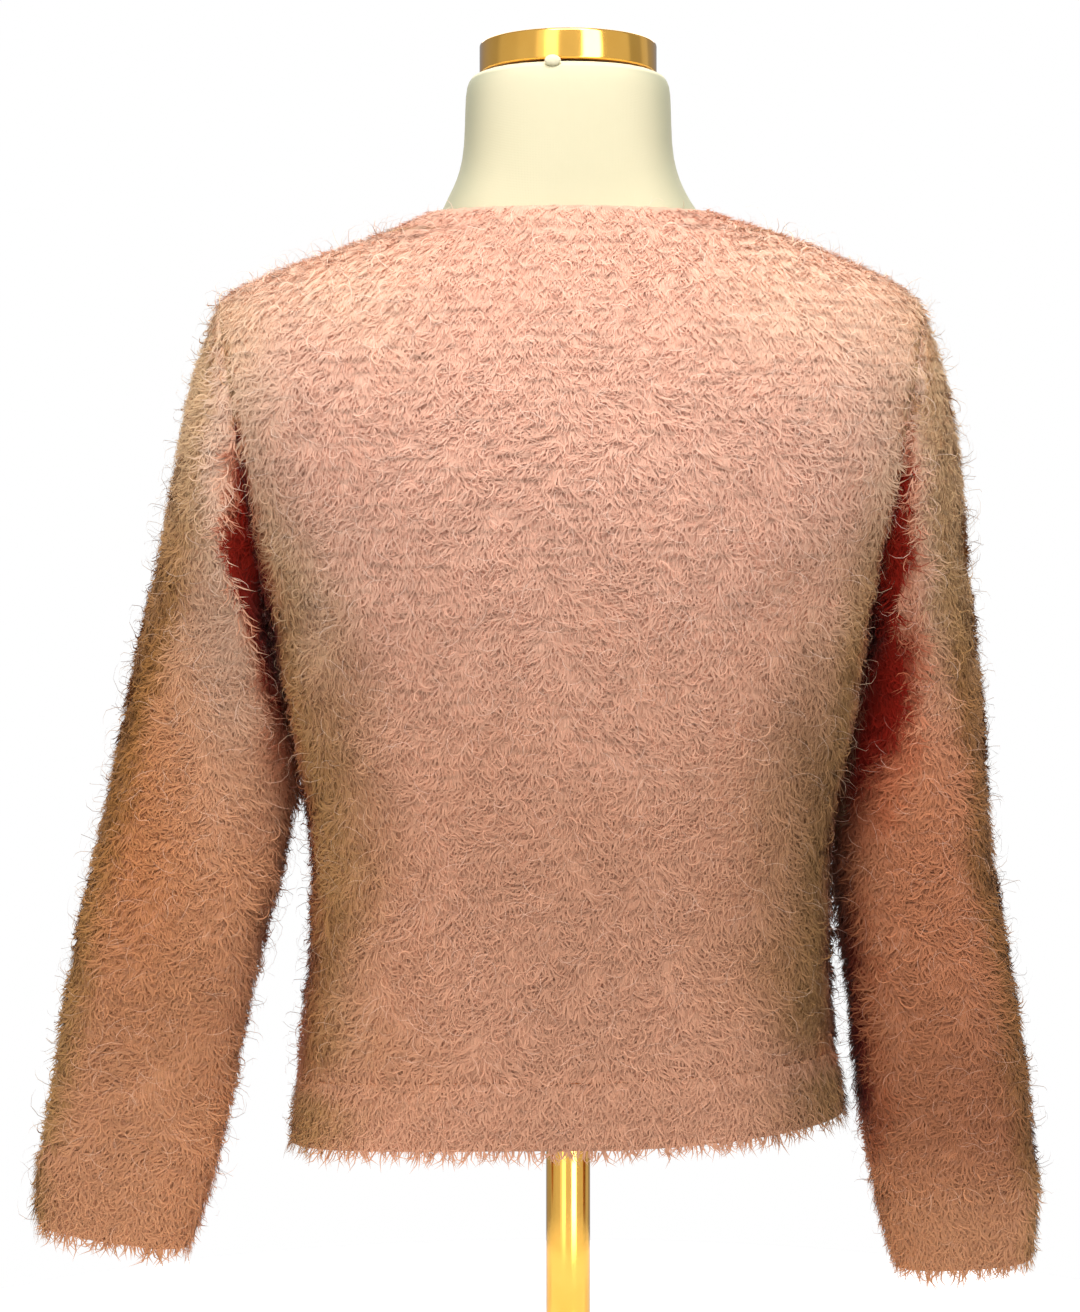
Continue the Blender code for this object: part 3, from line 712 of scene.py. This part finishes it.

# %% [markdown]
# ## Colours of the pullover
# The photograph shows salmon pink, lightest on the upper chest, browner towards the hem, and beige on
# the shoulders and outer sleeves. Much of that is light and shade, painted into the colour here:
# browner and darker low down, beige towards the sides and on the shoulders, brown on outward sides,
# darker on the picture's lower right. The warm, darker roots under pale tips are painted shade in the
# pile. One node group gives that tint to both the ground and the pile.

# %% Make the tint group
def tint_group():
    inputs = {
        "Place": (0.0, 0.0, 0.0),
        "Along": 0.5,
        "Chance": 0.5,
        "Height on Cloth": 0.0,
        "Turned": 0.0,
        "Fold": 0.0,
        "Row Height": ROW,
        # most of these colours carry painted light and shade: the darker roots, the low and side tones, the
        # sleeve tints and the fold shades
        "Root": (0.70, 0.36, 0.25, 1.0),
        "Tip": (0.93, 0.57, 0.43, 1.0),
        "Beige": (0.88, 0.63, 0.46, 1.0),
        "Low": (0.79, 0.42, 0.27, 1.0),
        "Low Beige": (0.62, 0.295, 0.145, 1.0),
        "Side": (0.80, 0.54, 0.31, 1.0),
        "Low Side": (0.46, 0.245, 0.085, 1.0),
        "Fold Shade Warmth": (1.0, 0.78, 0.70, 1.0),
        "Fold Shade Red": (0.46, 0.12, 0.055, 1.0),
        "Deepest Fold Shade": (0.26, 0.011, 0.004, 1.0),
        "Left Sleeve Light Tint": (0.94, 0.78, 0.58, 1.0),
        "Right Sleeve Shade Tint": (1.08, 0.9, 0.86, 1.0),
        "Wisp": (0.98, 0.84, 0.74, 1.0),
    }
    tree, given, result = new_group("Pullover tint", "ShaderNodeTree", inputs, {"Color": "Color"})
    place, along, fold = given["Place"], given["Along"], given["Fold"]
    x, _, z = xyz(place)
    across = calc("ABSOLUTE", x)
    uneven = (noise(place, 9.0, 2.0) - 0.5) * 0.16

    # painted light and shade by zone, with wavy borders: browner and darker low down, beige towards
    # the sides and on the shoulder ridge, and brown where the cloth faces outward
    height, wide = z + uneven, across + uneven
    low = height.fade(0.56, 0.30)
    shoulder = height.fade(0.56, 0.635) * across.fade(0.05, 0.13, 0.6)
    high_tip = mixed(calc("MAXIMUM", wide.fade(0.09, 0.22, 0.85), shoulder), given["Tip"], given["Beige"])
    low_tip = mixed(wide.fade(0.05, 0.17, 0.9), given["Low"], given["Low Beige"])
    outside = (given["Turned"] + uneven * 2.0).fade(0.4, 0.95)
    side_tip = mixed(height.fade(0.62, 0.40), given["Side"], given["Low Side"])
    tip = mixed(outside, mixed(low, high_tip, low_tip), side_tip)

    # painted shade tints of the lower sleeves, and painted shade on the low side on the picture's right
    left_arm = x.fade(-0.19, -0.24) * z.fade(0.56, 0.48) * z.fade(0.16, 0.36)
    tip = mixed(left_arm, tip, given["Left Sleeve Light Tint"], "MULTIPLY")
    right_low = x.fade(0.08, 0.15) * z.fade(0.46, 0.36) * z.fade(0.10, 0.17)
    right_arm = right_low * x.fade(0.155, 0.185)
    tip = mixed(right_arm, tip, given["Right Sleeve Shade Tint"], "MULTIPLY")
    less_on_arm = right_arm * (0.22 - outside * 0.17) * z.fade(0.14, 0.3)
    painted_shade_right = right_low * 0.34 - less_on_arm
    hem_shade = z.fade(0.40, 0.27) * x.fade(-0.12, 0.0, 0.13)

    # along one hair, from its root to its tip; the darker root is painted shade in the pile, with
    # lighter roots on the shoulders' top as painted light
    root = mixed(z.fade(0.555, 0.6, 0.2) + 0.74, given["Root"], tip)
    body = mixed(along.fade(0.0, 0.5), root, tip)

    # painted fold shade: warmer, then red-brown, then deep red
    body = mixed(fold.fade(0.04, 0.22), body, given["Fold Shade Warmth"], "MULTIPLY")
    body = mixed(fold.fade(0.16, 0.36, 0.8), body, given["Fold Shade Red"])
    deep = fold.fade(0.3, 0.5)
    body = mixed(deep, body, given["Deepest Fold Shade"])

    # painted shade: broken dark lines between the rows
    on_cloth = given["Height on Cloth"] + (noise(place, 24.0, 1.0) - 0.5) * (7 * MM)
    past = calc("ABSOLUTE", calc("FRACT", on_cloth / given["Row Height"]) - 0.5)
    patch = noise(vector("MULTIPLY", place, (75.0, 75.0, 190.0)), 1.0, 1.0)
    line = past.fade(0.14, 0.48) * patch.fade(0.42, 0.66) * (1.0 - low * 0.45)

    # brightness: random per hair, with painted shade on the row lines, on the picture's lower right and
    # near the hem, a little more on curls and a painted highlight on the shoulders; the pale wisps are
    # dimmed where the cloth has painted shade
    light = (given["Chance"] * 0.12 + 0.91) * (1.0 - line * 0.2) * (1.0 - painted_shade_right) * (1.0 - hem_shade)
    light = light + (along.fade(0.95, 1.4, 0.14) + shoulder * 0.08)
    dull = calc("MAXIMUM", deep, calc("MAXIMUM", low, outside) * 0.5)
    body = mixed(along.fade(1.9, 2.4, 0.55) * (1.0 - dull), body, given["Wisp"])
    feed(result, {"Color": scaled(body, light)})
    return tree


tint = tint_group()
print("nodes in the tint group:", len(tint.nodes))


# %% Helpers for materials
WHITE = (1.0, 1.0, 1.0, 1.0)
WARM_SHEEN = (1.0, 0.8, 0.7, 1.0)
SHEEN_ROUGHNESS = 0.45


def new_material(name, roughness, sheen=0.0, sheen_tint=WHITE, specular=0.5, metallic=0.0):
    """A material, its tree and its Principled shader, with the even values set on the shader's own sockets."""
    material = bpy.data.materials.new(name)
    material.use_nodes = True
    tree = material.node_tree
    shader = tree.nodes["Principled BSDF"]
    feeds = {"Roughness": roughness, "Specular IOR Level": specular, "Metallic": metallic}
    feeds.update({"Sheen Weight": sheen, "Sheen Roughness": SHEEN_ROUGHNESS, "Sheen Tint": sheen_tint})
    feed(shader, feeds)
    return material, tree, shader


def group_node(tree, group, feeds):
    return wires(add(tree, "ShaderNodeGroup", feeds, node_tree=group))


def attribute(tree, name, output="Fac"):
    return wire(tree, "ShaderNodeAttribute", output, attribute_name=name)


def object_place(tree):
    return wire(tree, "ShaderNodeTexCoord", "Object")


def turned_away(tree):
    """0 where the surface faces the viewer, 1 at its outline."""
    return wire(tree, "ShaderNodeLayerWeight", "Facing", {"Blend": 0.5})


def cloth_colour(tree, along, chance):
    """The tint, fed with what each point of the cloth was told."""
    names = {"Fold": "fold", "Turned": "turned", "Height on Cloth": "row_height"}
    feeds = {label: attribute(tree, name) for label, name in names.items()}
    feeds.update({"Place": object_place(tree), "Along": along, "Chance": chance})
    return group_node(tree, tint, feeds)["Color"]


# %% Finish of the hairs
def pile_material():
    material, tree, shader = new_material("pile_hairs", 0.85, 0.12, WARM_SHEEN, 0.12)
    colour = cloth_colour(tree, attribute(tree, "along"), attribute(tree, "shade"))
    own = wires(add(tree, "ShaderNodeNewGeometry"))
    cloth = scaled(attribute(tree, "cloth_normal", "Vector"), 1.0 - own["Backfacing"] * 2.0)
    soft = wire(tree, "ShaderNodeMix", 1, {0: 0.1, 4: cloth, 5: own["Normal"]}, data_type="VECTOR")
    feed(shader, {"Base Color": colour, "Normal": vector("NORMALIZE", soft)})
    return material


pile_finish = pile_material()
print("finish of the hairs:", pile_finish.name)

# %% [markdown]
# The ground shows only between the hairs. It still gets its real structure: rows of V stitches
# 6.6 mm high, drawn as height from the cloth's own map. The stitches' hollows get painted shade.

# %% Finish of the knitted ground
def stitches_group():
    """Stocking stitch, two slanted legs each: its height and a mask of its hollows."""
    inputs = {"Cloth Map": (0.0, 0.0, 0.0), "Stitch Width": STITCH, "Row Height": ROW, "Slant": 0.6}
    outputs = {"Height": "Float", "Hollow": "Float"}
    tree, given, result = new_group("Knit stitches", "ShaderNodeTree", inputs, outputs)
    across, along, _ = xyz(given["Cloth Map"])
    stitch = across / given["Stitch Width"]
    leg = calc("ABSOLUTE", calc("FRACT", stitch) - 0.5)
    slanted = along / given["Row Height"] + leg * given["Slant"]
    row = calc("ABSOLUTE", calc("FRACT", slanted) - 0.5)
    row_round = calc("POWER", calc("COSINE", row * math.pi), 0.6)
    leg_round = calc("POWER", calc("SINE", calc("FRACT", stitch * 2.0) * math.pi), 0.5)
    height = row_round * leg_round * 0.8 + noise(given["Cloth Map"], 900.0, 2.0) * 0.3
    feed(result, {"Height": height, "Hollow": calc("SUBTRACT", 1.0, height, clamp=True)})
    return tree


stitches = stitches_group()


def ground_material(name, stitch_width, row_height, slant):
    material, tree, shader = new_material(name, 0.9, 0.1, WARM_SHEEN, 0.1)
    feeds = {"Stitch Width": stitch_width, "Row Height": row_height, "Slant": slant}
    feeds["Cloth Map"] = wire(tree, "ShaderNodeUVMap", 0, uv_map="knit")
    knit = group_node(tree, stitches, feeds)
    # painted shade: the stitches' hollows take more of the darker root colour
    colour = cloth_colour(tree, 0.55 - knit["Hollow"] * 0.25, 0.4)
    feed(shader, {"Base Color": colour, "Normal": bump(knit["Height"], 0.6, 1.2 * MM)})
    return material


ground_finish = ground_material("knitted_ground", STITCH, ROW, 0.6)
rib_finish = ground_material("ribbed_ground", 6 * MM, 5 * MM, 0.5)
for part, piece in ground.items():
    piece.data.materials.append(ground_finish if part in MAIN else rib_finish)
print("finishes of the ground:", ground_finish.name, rib_finish.name)

# %% [markdown]
# Each piece of cloth grows its own pile from its outer layer only, which is the first half of the
# wall's points. The result becomes a plain mesh without a modifier.

# %% Grow the pile on each piece
PILE_SIZES = ("Tufts per Square Metre", "Strays per Square Metre", "Row Pull", "Hair Size", "Stray Size")
PILE = {
    "front": (95000.0, 13000.0, 0.55, 1.0, 1.0),
    "back": (95000.0, 13000.0, 0.55, 1.0, 1.0),
    "sleeve_right": (105000.0, 16000.0, 0.55, 1.0, 1.0),
    "sleeve_left": (105000.0, 16000.0, 0.55, 1.0, 1.0),
    "hem_rib": (105000.0, 12000.0, 0.3, 1.15, 0.75),
    "cuff_right": (110000.0, 9000.0, 0.3, 1.25, 0.9),
    "cuff_left": (110000.0, 7000.0, 0.3, 1.1, 0.75),
    "neckband": (110000.0, 12000.0, 0.2, 0.85, 0.6),
}


def outer_layer(mesh):
    """A copy of the wall's outer layer, without its map."""
    shape = bmesh.new()
    shape.from_mesh(mesh)
    shape.loops.layers.uv.remove(shape.loops.layers.uv["knit"])
    shape.verts.ensure_lookup_table()
    bmesh.ops.delete(shape, geom=shape.verts[len(shape.verts) // 2:], context="VERTS")
    return as_mesh(shape, "outer_layer")


def grow(part, sizes, seed):
    holder = scene_object("holder", outer_layer(ground[part].data))
    modifier = holder.modifiers.new("pile", "NODES")
    modifier.node_group = pile
    values = {"Tufts": tufts, "Strays": strays, "Finish": pile_finish, "Seed": seed}
    values["Cloth Up"] = SLEEVE_AXIS.get(side_of(part), Vector((0, 0, 1)))
    values.update(zip(PILE_SIZES, sizes))
    for item in pile.interface.items_tree:
        if item.in_out == "INPUT" and item.name in values:
            modifier[item.identifier] = values[item.name]
    bpy.context.view_layer.update()
    mesh = evaluated(holder)
    mesh.name = "fur_" + part
    return scene_object("fur_" + part, mesh)


fur = {part: grow(part, sizes, seed) for seed, (part, sizes) in enumerate(PILE.items(), 1)}
for piece in fur.values():
    print(piece.name, "triangles:", sum(len(f.vertices) - 2 for f in piece.data.polygons))
for group in (tufts, strays):
    for shape in list(group.objects):
        bpy.data.objects.remove(shape)
    bpy.data.collections.remove(group)

# %% [markdown]
# ## Dress form
# Only the neck of the padded form shows, under a stretched ivory jersey. The CAD solid has 28 sides,
# so a copy of it is joined to quads and subdivided, which gives a smooth round neck.

# %% Make the form's smooth cover
def smooth_form():
    shape = merged_copy("dress_form")
    flat = [e for e in shape.edges if all(abs(f.normal.z) > 0.999 for f in e.link_faces)]
    bmesh.ops.dissolve_limit(shape, angle_limit=math.radians(0.2), verts=[], edges=flat)
    join_quads(shape, [f for f in shape.faces if len(f.verts) == 3])
    smooth = subdivided(as_mesh(shape, "form_cover"))
    smooth.shade_smooth()
    smooth.name = "form_cover"
    return scene_object("form_cover", smooth)


def thread_end(across, radius, low, size):
    """The cover's knotted end, a flattened ball on the neck's edge."""
    shape = bmesh.new()
    bmesh.ops.create_uvsphere(shape, u_segments=20, v_segments=12, radius=0.5)
    middle = Vector((across, -math.sqrt(radius * radius - across * across), low + size.z / 2))
    for v in shape.verts:
        v.co = v.co * size + middle
    mesh = as_mesh(shape, "cover_knot")
    mesh.shade_smooth()
    return scene_object("cover_knot", mesh)


KNOT_SIZE = Vector((9, 4.5, 6.5)) * MM
form_cover = smooth_form()
neck_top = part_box("dress_form")[1].z
cover_knot = thread_end(-9 * MM, 55 * MM, neck_top - 5 * MM, KNOT_SIZE)
print("faces of the form's cover:", len(form_cover.data.polygons), "top of the neck:", round(neck_top, 4))


# %% Finish of the ivory cover
IVORY, PALE_IVORY = (0.68, 0.645, 0.44, 1), (0.72, 0.68, 0.48, 1)
# the outline colour is painted shade
IVORY_EDGE_SHADE, IVORY_RIM = (0.45, 0.46, 0.31, 1), (0.80, 0.77, 0.55, 1)
NECK_RADIUS = 0.06


def jersey_group():
    """Fine stretched jersey: thin ribs up the form, and a soft unevenness."""
    inputs = {"Place": (0.0, 0.0, 0.0), "Rib Width": 0.9 * MM}
    outputs = {"Height": "Float", "Cloud": "Float"}
    tree, given, result = new_group("Fine jersey", "ShaderNodeTree", inputs, outputs)
    x, y, z = xyz(given["Place"])
    ribs = calc("SINE", calc("ARCTAN2", x, y) * NECK_RADIUS / given["Rib Width"] * FULL_TURN)
    rows = calc("SINE", z / given["Rib Width"] * FULL_TURN)
    feed(result, {"Height": ribs * 0.5 + rows * 0.3, "Cloud": noise(given["Place"], 26.0, 3.0)})
    return tree


jersey = jersey_group()


def cover_material():
    material, tree, shader = new_material("ivory_jersey", 0.75, 0.15, specular=0.3)
    place = object_place(tree)
    cloth = group_node(tree, jersey, {"Place": place})
    colour = mixed(cloth["Cloud"], IVORY, PALE_IVORY)
    # painted shade: the ivory turns greyer and darker towards its outline
    colour = mixed(turned_away(tree).fade(0.15, 0.8), colour, IVORY_EDGE_SHADE)
    colour = mixed(xyz(place)[2].fade(neck_top - 5.5 * MM, neck_top - 3.5 * MM), colour, IVORY_RIM)
    feed(shader, {"Base Color": colour, "Normal": bump(cloth["Height"], 0.25, 0.2 * MM)})
    return material


ivory = cover_material()
for piece in (form_cover, cover_knot):
    piece.data.materials.clear()
    piece.data.materials.append(ivory)
print("finish of the cover:", ivory.name)

# %% [markdown]
# ## Neck cap, pole and base
# The cap is a turned brass disc. Pole and base are cut off in the photograph and are supplied in the
# same brass. Each is a profile with fine rounded edges that is spun round the axis.

# %% Turn the metal pieces
def turned(name, profile, count=96):
    """A closed turned piece. The profile gives (radius, height) from the underside's middle to the top's."""
    around = [FULL_TURN * i / count for i in range(count)]
    points, faces, rings = [], [], []
    for radius, height in profile:
        angles = around if radius else around[:1]
        rings.append(list(range(len(points), len(points) + len(angles))))
        points += [(radius * math.cos(a), radius * math.sin(a), height) for a in angles]
    for low, high in zip(rings, rings[1:]):
        for i in range(count):
            j = (i + 1) % count
            corners = (low[i % len(low)], low[j % len(low)], high[j % len(high)], high[i % len(high)])
            faces.append(tuple(dict.fromkeys(corners)))
    mesh = bpy.data.meshes.new(name)
    mesh.from_pydata(points, [], faces)
    mesh.shade_smooth()
    return scene_object(name, mesh)


def rounded(radius, bottom, top, edge, steps=4):
    """The outer part of a profile with a rounded edge below and above."""
    turns = [math.pi / 2 * i / steps for i in range(steps + 1)]
    low = [(radius - edge + edge * math.sin(a), bottom + edge - edge * math.cos(a)) for a in turns]
    high = [(radius - edge + edge * math.cos(a), top - edge + edge * math.sin(a)) for a in turns]
    return low + high


def disc(name, node, edge, top):
    """A turned disc in a CAD node's place. The top runs from the rounded edge to the middle."""
    low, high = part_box(node)
    under = [(0, low.z), (high.x - 6 * MM, low.z)]
    rim = rounded(high.x, low.z, high.z, edge)
    return turned(name, under + rim + [(radius, high.z - sunk) for radius, sunk in top])


cap_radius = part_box("neck_cap")[1].x
pole_low, pole_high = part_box("pole")
cap_top = [(cap_radius - 8 * MM, 0), (cap_radius - 9 * MM, 0.6 * MM), (0, 0.8 * MM)]
cap = disc("cap_metal", "neck_cap", 1.6 * MM, cap_top)
pole_side = rounded(pole_high.x, pole_low.z, pole_high.z, 0.8 * MM)
tube = turned("pole_metal", [(0, pole_low.z)] + pole_side + [(0, pole_high.z)], 64)
foot = disc("base_metal", "base", 3 * MM, [(pole_high.x + 6 * MM, 0), (0, 0)])
print("turned pieces:", cap.name, tube.name, foot.name)


# %% Finish of the gold metal
# the outline colour is a painted dark reflection
BRASS, DARK_BRASS, BRASS_EDGE_DARK_REFLECTION = (0.90, 0.52, 0.115, 1), (0.78, 0.40, 0.065, 1), (0.42, 0.20, 0.03, 1)


def metal_group():
    """Polished brass: fine turning marks and a slow unevenness of tone."""
    inputs = {"Place": (0.0, 0.0, 0.0), "Mark Size": 0.5 * MM}
    outputs = {"Tone": "Float", "Roughness": "Float", "Height": "Float"}
    tree, given, result = new_group("Turned brass", "ShaderNodeTree", inputs, outputs)
    cloud = noise(given["Place"], 45.0, 3.0)
    marks = calc("SINE", xyz(given["Place"])[2] / given["Mark Size"] * FULL_TURN)
    feed(result, {"Tone": cloud, "Roughness": cloud * 0.08 + 0.07, "Height": marks})
    return tree


brass_effect = metal_group()


def brass_material(name):
    material, tree, shader = new_material(name, 0.2, metallic=1.0)
    effect = group_node(tree, brass_effect, {"Place": object_place(tree)})
    colour = mixed(effect["Tone"], DARK_BRASS, BRASS)
    # painted dark reflection: the brass darkens towards its outline
    colour = mixed(turned_away(tree).fade(0.55, 0.95), colour, BRASS_EDGE_DARK_REFLECTION)
    marks = bump(effect["Height"], 0.05, 0.05 * MM)
    feed(shader, {"Base Color": colour, "Roughness": effect["Roughness"], "Normal": marks})
    return material


gold = brass_material("gold_brass")
for piece in (cap, tube, foot):
    piece.data.materials.append(gold)
print("finish of the metal:", gold.name)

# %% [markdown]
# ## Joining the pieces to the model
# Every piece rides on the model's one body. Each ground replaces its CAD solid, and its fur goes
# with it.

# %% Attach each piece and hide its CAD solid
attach(form_cover, "root")
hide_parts("dress_form")
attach(cover_knot, "root")
for piece, node in ((cap, "neck_cap"), (tube, "pole"), (foot, "base")):
    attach(piece, "root")
    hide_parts(node)
for part, piece in ground.items():
    for made in (piece, fur[part]):
        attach(made, "root")
    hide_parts(part)

# %% [markdown]
# ## Floor, light and background
# Floor and world are plain and pale. A broad soft light above and in front makes the upper chest
# twice as bright as the hem. Two tall cards soften it. Two strips at the sides and a light from
# behind wake the halo of hairs. The cap mirrors a room with a pale window to its left, a bright one
# to its right and darker walls behind, which the world shows to mirror rays only.

# %% Lay the floor
def make_floor():
    shape = bmesh.new()
    bmesh.ops.create_circle(shape, cap_ends=True, radius=0.5, segments=96)
    floor = scene_object("floor", as_mesh(shape, "floor"))
    material, tree, shader = new_material("pale_floor", 0.9, specular=0.1)
    pale = (0.95, 0.95, 0.95, 1)
    feed(shader, {"Base Color": pale, "Emission Color": WHITE, "Emission Strength": 0.5})
    floor.data.materials.append(material)
    return floor


print("floor:", make_floor().name)


# %% Light it
WARM = (1.0, 0.95, 0.91)
# place, height aimed at, width and height, power; the cap mirrors none of the cards and strips
LIGHTS = {
    "key_light": ((0.0, -0.95, 1.7), 0.55, (1.0, 0.8), 25.5),
    "card_left": ((-0.75, -1.3, 0.85), 0.7, (0.3, 0.9), 2.0),
    "card_right": ((0.72, -1.3, 0.85), 0.7, (0.3, 0.9), 2.6),
    "back_light": ((0.0, 1.1, 1.5), 0.5, (1.4, 0.8), 10.0),
    "strip_left": ((-1.3, -0.15, 0.55), 0.4, (0.3, 1.3), 4.6),
    "strip_right": ((1.3, -0.15, 0.55), 0.4, (0.3, 1.3), 3.8),
}


def soft_light(name, place, aim, size, power):
    data = bpy.data.lights.new(name, "AREA")
    data.shape = "RECTANGLE"
    data.size, data.size_y = size
    data.energy = power
    data.color = WARM if name == "key_light" else WHITE[:3]
    light = scene_object(name, data)
    light.location = place
    light.rotation_euler = (Vector((0, 0, aim)) - Vector(place)).to_track_quat("-Z", "Y").to_euler()
    light.visible_glossy = name.endswith("_light")


for name, settings in LIGHTS.items():
    soft_light(name, *settings)
print("lights:", list(LIGHTS))


# %% Build the white world
WORLD_SEEN, WORLD_LIGHT = 1.0, 0.27
# what the metal mirrors: degrees from the front, positive to the picture's right, and brightness
ROOM = [
    (-180, 0.4), (-106, 0.46), (-98, 0.66), (-72, 0.72), (-66, 0.8), (-44, 0.82), (-40, 1.3), (-32, 1.5),
    (-29, 3.0), (-15, 3.0), (-12, 0.94), (17, 0.94), (20, 10.0), (41, 10.0), (44, 0.8), (84, 0.78),
    (88, 0.46), (108, 0.46), (112, 0.68), (124, 0.68), (128, 0.42), (180, 0.4),
]
BRIGHTEST = 10.0


def mirrored_room(tree):
    """Brightness of the room by direction, as a ramp over the full turn."""
    x, y, _ = xyz(wire(tree, "ShaderNodeTexCoord", "Generated"))
    turn = calc("ARCTAN2", x, y * -1.0) / FULL_TURN + 0.5
    ramp = add(tree, "ShaderNodeValToRGB", {"Fac": turn})
    stops = ramp.color_ramp.elements
    grey = [(level / BRIGHTEST, level / BRIGHTEST, level / BRIGHTEST, 1) for _, level in ROOM]
    stops[0].color, stops[1].color = grey[0], grey[-1]
    for (degrees, _), colour in list(zip(ROOM, grey))[1:-1]:
        stops.new(degrees / 360 + 0.5).color = colour
    return Wire(ramp.outputs["Color"]) * BRIGHTEST


def white_world():
    """White to the camera, a room in the metal, and a softer white as a light."""
    world = bpy.data.worlds.new("white_studio")
    bpy.context.scene.world = world
    world.use_nodes = True
    tree = world.node_tree
    path = wires(add(tree, "ShaderNodeLightPath"))
    feeds = {0: path["Is Glossy Ray"], 2: WORLD_LIGHT, 3: mirrored_room(tree)}
    unseen = wire(tree, "ShaderNodeMix", 0, feeds, data_type="FLOAT")
    feeds = {0: path["Is Camera Ray"], 2: unseen, 3: WORLD_SEEN}
    strength = wire(tree, "ShaderNodeMix", 0, feeds, data_type="FLOAT")
    feed(tree.nodes["Background"], {"Color": WHITE, "Strength": strength})
    return world


print("world:", white_world().name)
bpy.context.scene.view_settings.view_transform = "Standard"
